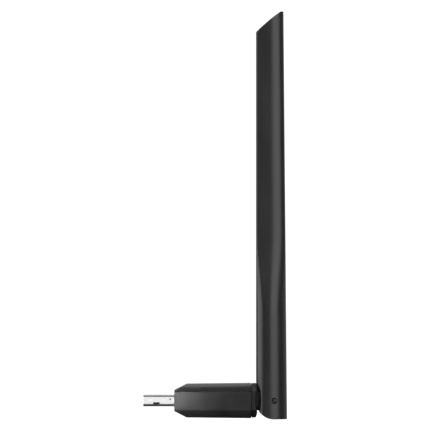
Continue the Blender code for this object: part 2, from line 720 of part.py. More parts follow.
def aerial_block(name, low, high, inset=0.0):
    return loft(name, [aerial_ring(z, inset) for z in aerial_heights(low, high)])


def top_line(drop):
    """The slanted top, from the plug-side edge up to the tip, slightly crowned."""
    low = Vector((AERIAL_FRONT + 0.2 * MM, AERIAL_SHOULDER))
    high = Vector((2.6 * MM, AERIAL_TIP - 0.05 * MM))
    crown = 0.35 * MM
    points = []
    for k in range(9):
        t = k / 8
        middle = low.lerp(high, t)
        points.append((PIN_X + middle.x, middle.y + crown * 4 * t * (1 - t) - drop))
    return points


def cut_top(solid, name, drop=0.0):
    line = top_line(drop)
    left = (line[0][0] - 2 * MM, line[0][1] - 2.6 * MM)
    right = (PIN_X + 8 * MM, line[-1][1])
    above = [(right[0], AERIAL_TIP + 10 * MM), (left[0], AERIAL_TIP + 10 * MM)]
    tool = outline(name, [left] + line + [right] + above, "XZ", -12 * MM, 12 * MM)
    combine(solid, add_tool(name, tool))


def notch_outline():
    """Where the cheeks stop short of the collar's block: an arc under a rising curve."""
    upper = [(-9.5, 8.9), (-7.4, 7.3), (-6.6, 6.5), (-6.0, 5.5), (-5.6, 4.2), (-5.4, 2.6)]
    lower = [(-5.3, 0.0), (-5.4, -1.7), (-5.6, -3.0), (-5.9, -3.9), (-6.6, -4.6), (-9.5, -6.3)]
    return [(PIN_X + x * MM, z * MM) for x, z in upper + lower]


def throat_outline():
    """The deeper notch between the cheeks, with room for the block and its web."""
    upper = [(-9.5, 9.1), (-7.4, 7.5), (-6.3, 7.2), (-5.1, 6.1), (-4.4, 4.6), (-4.1, 2.6)]
    lower = [(-3.8, 0.0), (-4.0, -1.7), (-4.7, -3.0), (-5.6, -3.9), (-6.6, -4.6), (-9.5, -6.3)]
    return [(PIN_X + x * MM, z * MM) for x, z in upper + lower]


def foot_outline():
    """What is cut off the foot: all that lies outside the fold radius, plug side."""
    turn = arc((PIN_X, 0), FOLD_RADIUS, 215, 270, 14)
    return turn + [(PIN_X, -12 * MM), (PIN_X - 12 * MM, -12 * MM),
                   (PIN_X - 12 * MM, FOLD_RADIUS * math.sin(math.radians(215)))]


def block_room_outline():
    """What the collar's block passes through in the foot as the aerial folds."""
    inner = -BLOCK_REAR - BLOCK_CLEARANCE
    far_x = -BLOCK_BOTTOM + BLOCK_CLEARANCE
    far_turn = 360 - math.degrees(math.acos(far_x / inner))
    band = arc((PIN_X, 0), inner, 160, far_turn, 28)
    beyond = -12 * MM
    return band + [(PIN_X + far_x, beyond), (PIN_X + beyond, beyond), (PIN_X + beyond, band[0][1])]


def make_fork_hollow():
    """The hollow round the tongue, less the two bosses that carry the pin."""
    hollow = add_tool("fork_hollow", aerial_block("fork_hollow", -9 * MM, FORK_TOP, AERIAL_WALL))
    for side in (-1, 1):
        length = 8 * MM
        boss = cylinder("pin_boss", (PIN_X, side * (BOSS_INNER + length / 2), 0), "Y",
                        BOSS_RADIUS, length)
        combine(hollow, add_tool(f"pin_boss_{side}", boss))
    return hollow


def make_blade_hollow():
    hollow = add_tool("blade_hollow", aerial_block("blade_hollow", CAVITY_FOOT,
                                                   AERIAL_TIP + 1 * MM, AERIAL_WALL))
    cut_top(hollow, "hollow_top", 2.2 * MM)
    return hollow


def make_aerial_shells(finish, parts):
    form = add_tool("aerial_form", aerial_block("aerial_form", AERIAL_FOOT, AERIAL_TIP + 1 * MM))
    cut_top(form, "slanted_top")
    combine(form, make_fork_hollow())
    combine(form, make_blade_hollow())
    notch = outline("notch", notch_outline(), "XZ", -12 * MM, 12 * MM)
    combine(form, add_tool("notch", notch))
    foot = outline("foot_corner", foot_outline(), "XZ", -12 * MM, 12 * MM)
    combine(form, add_tool("foot_corner", foot))
    reach = BLOCK_HALF_WIDTH + BLOCK_CLEARANCE
    throat = outline("throat", throat_outline(), "XZ", -reach, reach)
    combine(form, add_tool("throat", throat))
    room = outline("block_room", block_room_outline(), "XZ", -reach, reach)
    combine(form, add_tool("block_room", room))
    heel_half_width = TONGUE_HALF_WIDTH + BLOCK_CLEARANCE
    heel = box("heel_room", (PIN_X + 2.5 * MM, -heel_half_width, -12 * MM),
               (PIN_X - WEB_BOTTOM + BLOCK_CLEARANCE, heel_half_width, -4.8 * MM))
    combine(form, add_tool("heel_room", heel))
    passage = cylinder("lead_passage", (PIN_X - 2.2 * MM, 0, 8 * MM), "Z", 0.9 * MM, 6 * MM, 24)
    combine(form, add_tool("lead_passage", passage))
    pin_hole = cylinder("pin_hole", (PIN_X, 0, 0), "Y", PIN_RADIUS + 0.05 * MM, 24 * MM)
    combine(form, add_tool("pin_hole", pin_hole))
    for side in (-1, 1):
        recess = cylinder("pin_recess", (PIN_X, side * 10 * MM, 0), "Y", PIN_RECESS_RADIUS, 4 * MM)
        combine(form, add_tool(f"pin_recess_{side}", recess))
    for side, name in ((-1, "aerial_shell_near"), (1, "aerial_shell_far")):
        near, far = sorted((side * 0.05 * MM, side * 12 * MM))
        half = box(name, (PIN_X - 12 * MM, near, -12 * MM), (PIN_X + 12 * MM, far, 170 * MM))
        shell = add_part(name, half, finish["black_plastic"])
        combine(shell, form, "INTERSECT")
        parts.append(shell)


def make_hinge(finish, parts):
    pin = cylinder("hinge_pin", (PIN_X, 0, 0), "Y", PIN_RADIUS, 2 * PIN_HALF_LENGTH)
    pin = add_part("hinge_pin", pin, finish["spring_steel"])
    round_off(pin, 0.2 * MM)
    parts.append(pin)
    for side, name in ((-1, "hinge_washer_near"), (1, "hinge_washer_far")):
        middle = side * (TONGUE_HALF_WIDTH + BOSS_INNER) / 2
        washer = ring(name, (PIN_X, middle, 0), "Y", PIN_RADIUS + 0.1 * MM, 2.6 * MM, 0.45 * MM)
        parts.append(add_part(name, washer, finish["nylon"]))


def make_radiator(finish, parts):
    """A printed dipole on a narrow board, its lead, and the foam that steadies it."""
    front, back = PIN_X - RADIATOR_THICKNESS / 2, PIN_X + RADIATOR_THICKNESS / 2
    board = box("radiator_board", (front, -RADIATOR_HALF_WIDTH, RADIATOR_FOOT),
                (back, RADIATOR_HALF_WIDTH, RADIATOR_TOP))
    parts.append(add_part("radiator_board", board, finish["board_green"]))
    arms = (("radiator_lower_arm", RADIATOR_FOOT + 22 * MM, FEED_HEIGHT - 1 * MM),
            ("radiator_upper_arm", FEED_HEIGHT + 1 * MM, RADIATOR_TOP - 14 * MM))
    for name, low, high in arms:
        arm = box(name, (back + 0.1 * MM, -3.6 * MM, low), (back + 0.2 * MM, 3.6 * MM, high))
        parts.append(add_part(name, arm, finish["copper"]))
    lead_x = front - COAX_RADIUS - 0.15 * MM
    route = [(PIN_X - 2.2 * MM, 0, 5.6 * MM), (PIN_X - 2.2 * MM, 0, 11 * MM),
             (PIN_X - 1.9 * MM, 0, 12.5 * MM), (lead_x - 0.15 * MM, 0, 14.5 * MM),
             (lead_x, 0, 17 * MM), (lead_x, 0, FEED_HEIGHT)]
    lead = add_part("coax_aerial", wire("coax_aerial", route, COAX_RADIUS), finish["cable_black"])
    parts.append(lead)
    for name, middle in (("foam_pad_lower", 84 * MM), ("foam_pad_upper", 126 * MM)):
        pad = box(name, (PIN_X - 5.2 * MM, -3.4 * MM, middle - 5 * MM),
                  (front - 0.2 * MM, 3.4 * MM, middle + 5 * MM))
        parts.append(add_part(name, pad, finish["foam"]))


# ---------------------------------------------------------------- assembly

def hang_on_axis(name, place, parts):
    """Parent moving parts to an empty on their joint's axis, where they already are."""
    pivot = bpy.data.objects.new(name, None)
    pivot.empty_display_size = 0.01
    pivot.location = place
    bpy.data.collections[COLLECTION].objects.link(pivot)
    bpy.context.view_layer.update()
    for part in parts:
        part.parent = pivot
        part.matrix_parent_inverse = pivot.matrix_world.inverted()
    return pivot


def shade(obj):
    """Smooth round faces; edges sharper than 30 degrees stay crisp."""
    obj.data.shade_smooth()
    obj.data.set_sharp_from_angle(angle=math.radians(30))


def build():
    clear_scene()
    finish = make_materials()
    make_plug(finish)
    make_housing(finish)
    make_board(finish)
    make_body_lead(finish)
    swivel_parts = []
    make_swivel(finish, swivel_parts)
    aerial_parts = []
    make_aerial_shells(finish, aerial_parts)
    make_hinge(finish, aerial_parts)
    make_radiator(finish, aerial_parts)
    hang_on_axis("swivel_axis", (HOUSING_LENGTH, 0, 0), swivel_parts)
    hang_on_axis("fold_axis", (PIN_X, 0, 0), aerial_parts)
    for obj in bpy.data.collections[COLLECTION].objects:
        if obj.type == "MESH":
            shade(obj)


build()
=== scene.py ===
"""Looks of a USB wireless adapter: finishes, finer outer shells, light and camera.

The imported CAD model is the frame.  Pieces that show are rebuilt here with finer
curves and softened edges, in the same place and inside the same box.
Metres, +Z up; the plug points along -X and the aerial stands along +Z.
"""

import json
import math

import bmesh
import bpy
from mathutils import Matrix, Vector

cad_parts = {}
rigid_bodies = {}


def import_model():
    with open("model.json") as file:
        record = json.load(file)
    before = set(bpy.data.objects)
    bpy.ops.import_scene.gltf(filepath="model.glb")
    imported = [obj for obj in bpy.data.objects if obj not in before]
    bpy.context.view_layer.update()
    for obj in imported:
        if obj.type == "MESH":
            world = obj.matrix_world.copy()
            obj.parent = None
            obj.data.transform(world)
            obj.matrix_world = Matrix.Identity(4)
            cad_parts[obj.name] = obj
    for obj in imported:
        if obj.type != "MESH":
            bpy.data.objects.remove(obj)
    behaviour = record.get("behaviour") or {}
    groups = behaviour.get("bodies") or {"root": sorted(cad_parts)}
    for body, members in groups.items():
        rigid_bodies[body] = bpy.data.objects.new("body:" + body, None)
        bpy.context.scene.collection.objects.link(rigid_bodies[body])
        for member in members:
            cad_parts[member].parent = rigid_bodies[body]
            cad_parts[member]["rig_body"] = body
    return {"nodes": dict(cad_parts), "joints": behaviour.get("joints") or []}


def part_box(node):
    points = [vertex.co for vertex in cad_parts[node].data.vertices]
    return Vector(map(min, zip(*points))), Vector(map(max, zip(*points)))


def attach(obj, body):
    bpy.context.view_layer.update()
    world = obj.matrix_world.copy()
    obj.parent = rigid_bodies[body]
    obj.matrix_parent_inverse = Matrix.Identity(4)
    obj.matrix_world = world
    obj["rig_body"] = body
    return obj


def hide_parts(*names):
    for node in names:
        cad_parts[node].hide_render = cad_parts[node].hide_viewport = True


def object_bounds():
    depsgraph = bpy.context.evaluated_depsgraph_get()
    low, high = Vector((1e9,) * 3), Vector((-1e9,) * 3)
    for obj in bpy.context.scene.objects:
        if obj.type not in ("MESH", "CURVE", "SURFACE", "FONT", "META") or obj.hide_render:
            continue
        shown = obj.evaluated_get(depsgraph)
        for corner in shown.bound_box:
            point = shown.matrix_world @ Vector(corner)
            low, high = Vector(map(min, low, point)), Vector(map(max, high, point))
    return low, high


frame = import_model()
CAD_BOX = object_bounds()
MM = 0.001
WIDE = 12 * MM                         # past the object on both sides, for cuts right through


# ---------------------------------------------------------------- finishes

def new_material(name):
    made = bpy.data.materials.new(name)
    made.use_nodes = True
    return made, made.node_tree.nodes, made.node_tree.links


def grain_noise(nodes, links, size, detail=3.0):
    """Noise whose features are about size metres long in x, y and z of the object."""
    place = nodes.new("ShaderNodeTexCoord")
    stretch = nodes.new("ShaderNodeMapping")
    stretch.inputs["Scale"].default_value = [1 / length for length in size]
    noise = nodes.new("ShaderNodeTexNoise")
    noise.inputs["Scale"].default_value = 1.0
    noise.inputs["Detail"].default_value = detail
    links.new(place.outputs["Object"], stretch.inputs["Vector"])
    links.new(stretch.outputs["Vector"], noise.inputs["Vector"])
    return noise.outputs["Fac"]


def spread(nodes, links, source, low, high):
    """A noise value stretched to run from low to high."""
    ranged = nodes.new("ShaderNodeMapRange")
    ranged.inputs["From Min"].default_value = 0.3
    ranged.inputs["From Max"].default_value = 0.7
    ranged.inputs["To Min"].default_value = low
    ranged.inputs["To Max"].default_value = high
    links.new(source, ranged.inputs["Value"])
    return ranged.outputs["Result"]


def two_tones(nodes, links, source, dark, light):
    ramp = nodes.new("ShaderNodeValToRGB")
    ramp.color_ramp.elements[0].position = 0.35
    ramp.color_ramp.elements[0].color = (*dark, 1.0)
    ramp.color_ramp.elements[1].position = 0.65
    ramp.color_ramp.elements[1].color = (*light, 1.0)
    links.new(source, ramp.inputs["Fac"])
    return ramp.outputs["Color"]


def relief(nodes, links, source, height, edge_radius):
    """Bump of the given height, over edges that look rounded to edge_radius."""
    bump = nodes.new("ShaderNodeBump")
    bump.inputs["Strength"].default_value = 1.0
    bump.inputs["Distance"].default_value = height
    links.new(source, bump.inputs["Height"])
    if edge_radius:
        soft = nodes.new("ShaderNodeBevel")
        soft.samples = 4
        soft.inputs["Radius"].default_value = edge_radius
        links.new(soft.outputs["Normal"], bump.inputs["Normal"])
    return bump.outputs["Normal"]


def finish(name, tones, roughness, grain, mottle=(0.004, 0.004, 0.004), height=0.000004,
           metallic=0.0, specular=0.5, edge_radius=0.0):
    """A surface with two close tones, uneven gloss and a fine grain.

    tones and roughness are (low, high) pairs; grain and mottle are feature sizes."""
    made, nodes, links = new_material(name)
    shader = nodes["Principled BSDF"]
    shader.inputs["Metallic"].default_value = metallic
    shader.inputs["Specular IOR Level"].default_value = specular
    patches = grain_noise(nodes, links, mottle, 2.0)
    fine = grain_noise(nodes, links, grain)
    links.new(two_tones(nodes, links, patches, *tones), shader.inputs["Base Color"])
    half = nodes.new("ShaderNodeMath")
    half.operation = "MULTIPLY"
    half.inputs[1].default_value = 0.5
    links.new(patches, half.inputs[0])
    mean = nodes.new("ShaderNodeMath")
    mean.operation = "MULTIPLY_ADD"
    mean.inputs[1].default_value = 0.5
    links.new(fine, mean.inputs[0])
    links.new(half.outputs[0], mean.inputs[2])
    links.new(spread(nodes, links, mean.outputs[0], *roughness), shader.inputs["Roughness"])
    links.new(relief(nodes, links, fine, height, edge_radius), shader.inputs["Normal"])
    return made


def grey(value):
    return (value, value, value * 1.03)


def even(size):
    return (size, size, size)


def make_finishes():
    return {
        "housing_plastic": finish("housing_plastic", (grey(0.012), grey(0.018)), (0.27, 0.35),
                                  even(0.18 * MM), even(6 * MM), 2.5e-6, specular=0.32,
                                  edge_radius=0.2 * MM),
        "aerial_plastic": finish("aerial_plastic", (grey(0.012), grey(0.018)), (0.29, 0.37),
                                 (0.2 * MM, 0.2 * MM, 0.24 * MM), (7 * MM, 7 * MM, 22 * MM), 2.5e-6,
                                 specular=0.32, edge_radius=0.2 * MM),
        "plug_steel": finish("plug_steel", (grey(0.72), grey(0.76)), (0.16, 0.22),
                             (2.5 * MM, 0.1 * MM, 0.1 * MM), even(5 * MM), 3e-7, metallic=1.0,
                             edge_radius=0.05 * MM),
        "plug_plastic": finish("plug_plastic", (grey(0.010), grey(0.016)), (0.38, 0.5),
                               even(0.15 * MM), edge_radius=0.05 * MM),
        "gold": finish("gold", ((0.80, 0.56, 0.22), (0.88, 0.66, 0.30)), (0.16, 0.28),
                       (1.2 * MM, 0.06 * MM, 0.06 * MM), height=8e-7, metallic=1.0),
        "tin": finish("tin", (grey(0.56), grey(0.66)), (0.25, 0.4), even(0.3 * MM), height=2e-6,
                      metallic=1.0, edge_radius=0.05 * MM),
        "chip_black": finish("chip_black", (grey(0.022), grey(0.034)), (0.45, 0.62),
                             even(0.1 * MM), edge_radius=0.04 * MM),
        "ceramic": finish("ceramic", ((0.30, 0.22, 0.14), (0.40, 0.30, 0.20)), (0.35, 0.5),
                          even(0.2 * MM), edge_radius=0.04 * MM),
        "spring_steel": finish("spring_steel", (grey(0.06), grey(0.09)), (0.24, 0.36),
                               even(0.25 * MM), height=2e-6, metallic=1.0, edge_radius=0.05 * MM),
        "cable_black": finish("cable_black", (grey(0.016), grey(0.024)), (0.32, 0.46),
                              even(0.3 * MM)),
        "copper": finish("copper", ((0.66, 0.32, 0.17), (0.78, 0.42, 0.25)), (0.22, 0.36),
                         (0.1 * MM, 0.1 * MM, 2 * MM), height=1e-6, metallic=1.0),
        "foam": finish("foam", (grey(0.05), grey(0.10)), (0.9, 1.0), even(0.5 * MM),
                       height=1.2e-4, specular=0.2),
        "nylon": finish("nylon", ((0.62, 0.61, 0.55), (0.70, 0.69, 0.64)), (0.4, 0.55),
                        even(0.3 * MM), edge_radius=0.07 * MM),
        "board_green": board_finish(),
    }


def board_finish():
    """Solder mask over a grid of copper tracks, which show as paler raised lines."""
    made, nodes, links = new_material("board_green")
    shader = nodes["Principled BSDF"]
    place = nodes.new("ShaderNodeTexCoord")
    tracks = nodes.new("ShaderNodeTexBrick")
    tracks.inputs["Scale"].default_value = 1.0
    tracks.inputs["Mortar Size"].default_value = 0.12 * MM
    tracks.inputs["Brick Width"].default_value = 2.4 * MM
    tracks.inputs["Row Height"].default_value = 0.8 * MM
    tracks.inputs["Color1"].default_value = (0.012, 0.085, 0.035, 1.0)
    tracks.inputs["Color2"].default_value = (0.016, 0.100, 0.042, 1.0)
    tracks.inputs["Mortar"].default_value = (0.035, 0.17, 0.06, 1.0)
    links.new(place.outputs["Object"], tracks.inputs["Vector"])
    links.new(tracks.outputs["Color"], shader.inputs["Base Color"])
    fine = grain_noise(nodes, links, even(0.4 * MM))
    links.new(spread(nodes, links, fine, 0.26, 0.4), shader.inputs["Roughness"])
    links.new(relief(nodes, links, tracks.outputs["Fac"], 0.00003, 0.0), shader.inputs["Normal"])
    return made


# Which finish each CAD node has
NODE_FINISHES = {
    "plug_steel": ("usb_shell",),
    "plug_plastic": ("usb_insulator",),
    "gold": ("usb_contact_1", "usb_contact_2", "usb_contact_3", "usb_contact_4", "coax_jack",
             "coax_plug"),
    "housing_plastic": ("housing_top", "housing_bottom", "swivel_collar"),
    "aerial_plastic": ("aerial_shell_near", "aerial_shell_far"),
    "board_green": ("main_board", "radiator_board"),
    "tin": ("rf_shield", "crystal"),
    "chip_black": ("wifi_chip", "power_inductor", "voltage_regulator"),
    "ceramic": ("input_capacitor",),
    "spring_steel": ("swivel_clip", "hinge_pin"),
    "nylon": ("swivel_washer", "hinge_washer_near", "hinge_washer_far"),
    "cable_black": ("coax_body", "coax_swivel", "coax_aerial"),
    "copper": ("radiator_lower_arm", "radiator_upper_arm"),
    "foam": ("foam_pad_lower", "foam_pad_upper"),
}


def dress(obj, material):
    obj.data.materials.clear()
    obj.data.materials.append(material)


def dress_cad_nodes(finishes):
    for finish_name, nodes in NODE_FINISHES.items():
        for node in nodes:
            dress(frame["nodes"][node], finishes[finish_name])


# ---------------------------------------------------------------- modelling tools

def place_object(name, mesh):
    obj = bpy.data.objects.new(name, mesh)
    bpy.context.scene.collection.objects.link(obj)
    return obj


def solid(name, work):
    bmesh.ops.recalc_face_normals(work, faces=work.faces)
    mesh = bpy.data.meshes.new(name)
    work.to_mesh(mesh)
    work.free()
    return place_object(name, mesh)


def loft(name, rings):
    """A solid through rings of equally many points, with a face across each end."""
    work = bmesh.new()
    rows = [[work.verts.new(point) for point in points] for points in rings]
    count = len(rows[0])
    for low, high in zip(rows, rows[1:]):
        for index in range(count):
            after = (index + 1) % count
            work.faces.new((low[index], low[after], high[after], high[index]))
    work.faces.new(list(reversed(rows[0])))
    work.faces.new(rows[-1])
    return solid(name, work)


def prism(name, points, plane, start, end):
    """A flat outline, drawn in XY, XZ or YZ, as thick as from start to end across it."""
    place = {"XY": lambda a, b, c: (a, b, c), "XZ": lambda a, b, c: (a, c, b),
             "YZ": lambda a, b, c: (c, a, b)}[plane]
    return loft(name, [[place(a, b, level) for a, b in points] for level in (start, end)])


def block(name, low, high):
    corners = [(low[0], low[1]), (high[0], low[1]), (high[0], high[1]), (low[0], high[1])]
    return prism(name, corners, "XY", low[2], high[2])


def arc(centre, radius, start, end, steps):
    """Points on an arc; the angles are in degrees."""
    turns = [math.radians(start + (end - start) * k / steps) for k in range(steps + 1)]
    return [(centre[0] + radius * math.cos(t), centre[1] + radius * math.sin(t)) for t in turns]


def tube(name, centre, plane, radius, low, high, sides=72):
    """A round bar across a plane; centre is in that plane."""
    return prism(name, arc(centre, radius, 0, 360 - 360 / sides, sides - 1), plane, low, high)


def collar_ring(name, radius_in, radius_out, low, high):
    outer = tube(name, (0, 0), "YZ", radius_out, low, high)
    carve(outer, tube("ring_bore", (0, 0), "YZ", radius_in, low - MM, high + MM, 60))
    return outer


def rounded(half_width, half_height, corner, centre=(0.0, 0.0), steps=6):
    points = []
    for sign_a, sign_b, start in ((1, 1, 0), (-1, 1, 90), (-1, -1, 180), (1, -1, 270)):
        middle = (centre[0] + sign_a * (half_width - corner),
                  centre[1] + sign_b * (half_height - corner))
        points += arc(middle, corner, start, start + 90, steps)
    return points


def carve(obj, tool, operation="DIFFERENCE"):
    """Cut a tool out of a solid, or join or intersect them; the tool goes."""
    step = obj.modifiers.new("carve", "BOOLEAN")
    step.operation = operation
    step.solver = "EXACT"
    step.object = tool
    bpy.context.view_layer.update()
    view = obj.evaluated_get(bpy.context.evaluated_depsgraph_get())
    shaped = bpy.data.meshes.new_from_object(view)
    obj.modifiers.clear()
    old = obj.data
    obj.data = shaped
    bpy.data.meshes.remove(old)
    bpy.data.meshes.remove(tool.data)
    return obj


def copy_of(obj, name):
    return place_object(name, obj.data.copy())


def stand_in(obj, node, material):
    """A finished piece that is shown in place of a CAD node, and moves as it does."""
    obj.data.shade_smooth()
    obj.data.set_sharp_from_angle(angle=math.radians(28))
    dress(obj, material)
    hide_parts(node)
    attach(obj, frame["nodes"][node]["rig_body"])


# ---------------------------------------------------------------- plug

PLUG_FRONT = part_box("usb_shell")[0].x
PLUG_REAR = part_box("usb_shell")[1].x
PLUG_HALF_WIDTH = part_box("usb_shell")[1].y
PLUG_HALF_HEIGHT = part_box("usb_shell")[1].z
PLUG_WALL = 0.3 * MM
PLUG_CORNER = 1.0 * MM
DIMPLES = ((-9.6 * MM, 0.75 * MM, 0.03 * MM), (-4.3 * MM, 0.75 * MM, 0.02 * MM))   # x, z, depth
DIMPLE_RADIUS = 0.45 * MM
RIM_RADIUS = 0.12 * MM
LATCH_WINDOW = (-6.5 * MM, 2.95 * MM)  # x and y of its middle
SIDE_SLOT = (-7.1 * MM, -1.05 * MM)    # x and z of its middle
SIDE_HOLE = (-1.6 * MM, 0.64 * MM)


def plug_ring(x, inset):
    """The shell's section at x, with points close enough together to press dimples in."""
    corner = PLUG_CORNER - inset
    half_width, half_height = PLUG_HALF_WIDTH - inset, PLUG_HALF_HEIGHT - inset
    ring = []
    corners = rounded(half_width, half_height, corner, steps=8)
    for index, (y, z) in enumerate(corners):
        ring.append((y, z))
        after = corners[(index + 1) % len(corners)]
        gap = math.dist((y, z), after)
        steps = max(1, round(gap / (0.2 * MM))) if gap > 0.5 * MM else 1
        ring += [(y + (after[0] - y) * k / steps, z + (after[1] - z) * k / steps)
                 for k in range(1, steps)]
    return [(x, y, z) for y, z in ring]


def pressed(point):
    """A point of the shell, moved inwards where a dimple is."""
    x, y, z = point
    depth = sum(deep * math.exp(-((x - at_x) ** 2 + (z - at_z) ** 2) / DIMPLE_RADIUS ** 2)
                for at_x, at_z, deep in DIMPLES)
    return (x, y - math.copysign(depth, y) if abs(y) > PLUG_HALF_WIDTH - 0.4 * MM else y, z)


def plug_stations():
    """Places along the plug, from a rounded front rim to the rear."""
    rim = [(PLUG_FRONT + RIM_RADIUS * (1 - math.cos(t)), RIM_RADIUS * (1 - math.sin(t)))
           for t in (0.0, 0.4, 0.8, 1.2, math.pi / 2)]
    run = [(PLUG_FRONT + RIM_RADIUS + 0.2 * MM * k, 0.0) for k in range(1, 60)]
    return rim + run + [(PLUG_REAR, 0.0)]


def make_plug_shell(finishes):
    outer = [[pressed(p) for p in plug_ring(x, inset)] for x, inset in plug_stations()]
    shell = loft("plug_shell", outer)
    behind_rim = [x for x, inset in plug_stations()[:-1] if x > PLUG_FRONT + RIM_RADIUS]
    inner = [[pressed(p) for p in plug_ring(x, PLUG_WALL)] for x in behind_rim]
    front, rear = (plug_ring(x, PLUG_WALL) for x in (PLUG_FRONT - MM, PLUG_REAR + MM))
    carve(shell, loft("plug_bore", [front] + inner + [rear]))
    for side in (-1, 1):
        window = rounded(1.2 * MM, 1.15 * MM, 0.2 * MM, (LATCH_WINDOW[0], side * LATCH_WINDOW[1]))
        carve(shell, prism("latch_window", window, "XY", -4 * MM, 4 * MM))
    slot = rounded(1.3 * MM, 0.45 * MM, 0.2 * MM, SIDE_SLOT)
    carve(shell, prism("side_slot", slot, "XZ", -8 * MM, 8 * MM))
    carve(shell, tube("side_hole", SIDE_HOLE, "XZ", 0.3 * MM, -8 * MM, 8 * MM, 32))
    carve(shell, prism("seam", seam_outline(), "XY", -PLUG_HALF_HEIGHT - MM,
                       -PLUG_HALF_HEIGHT + PLUG_WALL / 2))
    stand_in(shell, "usb_shell", finishes["plug_steel"])


def seam_outline():
    """Where the folded sheet's two edges meet under the plug, locked by a dovetail."""
    line = [(-13, 0), (-5.2, 0), (-4.9, 0.9), (-3.1, 0.9), (-2.8, 0), (5, 0)]
    half = 0.04
    there = [(x * MM, (y + half) * MM) for x, y in line]
    back = [(x * MM, (y - half) * MM) for x, y in reversed(line)]
    return there + back


# ---------------------------------------------------------------- housing

HOUSING_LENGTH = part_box("housing_bottom")[1].x
HALF_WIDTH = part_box("housing_bottom")[1].y
FRONT_HALF_HEIGHT = 6.68 * MM
REAR_HALF_HEIGHT = -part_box("housing_bottom")[0].z
NARROWING = 1.0 * MM                   # each side is drawn in this much at the front
SIDE_HALF_HEIGHT = 3.86 * MM
TOP_FLAT = 4.6 * MM
LEAN = math.radians(28)                # how far the shoulder's lower edge leans in
EDGE_RADIUS = 0.9 * MM                 # where the side face turns into the shoulder
CHAMFER_START = 4.1 * MM
CHAMFER_SLOPE = 0.5224
WALL = 1.5 * MM
REAR_WALL = 1.7 * MM
PARTING_GAP = 0.2 * MM
JOURNAL_RADIUS = 6.55 * MM             # the disc on the collar that turns in the rear wall
JOURNAL_START = 30.1 * MM


def quarter_section(half_width, half_height, side):
    """From the middle of the side face up to the flat top, as (y, z) points."""
    turns = [LEAN * k / 6 for k in range(7)]
    low = side - EDGE_RADIUS * math.sin(LEAN)
    rounding = [(half_width - EDGE_RADIUS * (1 - math.cos(t)), low + EDGE_RADIUS * math.sin(t))
                for t in turns]
    start = Vector(rounding[-1])
    rise = half_height - start.y
    bend = Vector((start.x - rise * math.tan(LEAN), half_height))
    end = Vector((TOP_FLAT - (HALF_WIDTH - half_width), half_height))
    curve = [(1 - t) ** 2 * start + 2 * t * (1 - t) * bend + t * t * end
             for t in (k / 14 for k in range(1, 15))]
    return rounding + [(p.x, p.y) for p in curve]


def body_section(x, half_width, half_height, side, lift=0.0):
    quarter = quarter_section(half_width, half_height, side)
    right = [(y, -z) for y, z in reversed(quarter)] + quarter
    left = [(-y, z) for y, z in reversed(right)]
    return [(x, y, z + lift) for y, z in right + left]


def half_height_at(x):
    return FRONT_HALF_HEIGHT + (REAR_HALF_HEIGHT - FRONT_HALF_HEIGHT) * x / HOUSING_LENGTH


def half_width_at(x):
    return HALF_WIDTH - NARROWING * (1 - x / HOUSING_LENGTH) ** 2


def housing_form(name, start, end, inset):
    steps = 24
    places = [start + (end - start) * k / steps for k in range(steps + 1)]
    form = loft(name, [body_section(x, half_width_at(x) - inset, half_height_at(x) - inset,
                                    SIDE_HALF_HEIGHT - inset / 2) for x in places])
    for sign in (1, -1):
        front, rear, above = -2 * MM, 8 * MM, sign * 14 * MM
        line = [(x, sign * (CHAMFER_START - inset + x * CHAMFER_SLOPE)) for x in (front, rear)]
        beyond = [(rear, above), (front, above)]
        carve(form, prism("nose_wedge", line + beyond, "XZ", -WIDE, WIDE))
    return form


def make_housing(finishes):
    """A tub and its cover, split along the side face's upper edge."""
    form = housing_form("housing_form", 0.0, HOUSING_LENGTH, 0.0)
    hollow = housing_form("housing_hollow", WALL, HOUSING_LENGTH - REAR_WALL, WALL)
    carve(form, hollow)
    carve(form, tube("journal_seat", (0, 0), "YZ", JOURNAL_RADIUS + 0.12 * MM,
                     JOURNAL_START - 0.2 * MM, HOUSING_LENGTH + MM, 120))
    cover = copy_of(form, "housing_cover")
    parting = SIDE_HALF_HEIGHT
    carve(cover, block("cover_room", (-MM, -10 * MM, -9 * MM),
                       (32 * MM, 10 * MM, parting + PARTING_GAP / 2)))
    tub = form
    tub.name = "housing_tub"
    carve(tub, block("tub_room", (-MM, -10 * MM, parting - PARTING_GAP / 2),
                     (32 * MM, 10 * MM, 9 * MM)))
    mouth = rounded(PLUG_HALF_WIDTH + 0.2 * MM, PLUG_HALF_HEIGHT + 0.2 * MM, 0.9 * MM)
    carve(tub, prism("plug_mouth", mouth, "YZ", -MM, WALL + MM))
    carve(tub, tube("swivel_bore", (0, 0), "YZ", SPIGOT_RADIUS + 0.08 * MM,
                    HOUSING_LENGTH - 4 * MM, HOUSING_LENGTH + MM))
    stand_in(cover, "housing_top", finishes["housing_plastic"])
    stand_in(tub, "housing_bottom", finishes["housing_plastic"])


# ---------------------------------------------------------------- swivel collar

PIN_X = frame["joints"][1]["pos_m"][0]
COLLAR_FRONT = HOUSING_LENGTH + 0.2 * MM
COLLAR_REAR = 33.1 * MM
COLLAR_HALF_HEIGHT = 6.8 * MM
COLLAR_LIFT = 0.12 * MM
SPIGOT_RADIUS = 3.0 * MM
SPIGOT_START = 27.0 * MM
FOLD_RADIUS = 7.4 * MM                 # round corner of the aerial's foot, about the pin
BLOCK_HALF_WIDTH = 5.2 * MM
BLOCK_REAR = -5.6 * MM                 # from the pin
BLOCK_TOP = 3.7 * MM
BLOCK_BOTTOM = -3.2 * MM
TONGUE_HALF_WIDTH = 2.8 * MM           # also the web's
WEB_BOTTOM = -3.9 * MM
TONGUE_RADIUS = 2.9 * MM
CLEARANCE = 0.25 * MM
CLIP_GROOVE = (27.65 * MM, 28.25 * MM)
CABLE_BORE_END = 36.35 * MM


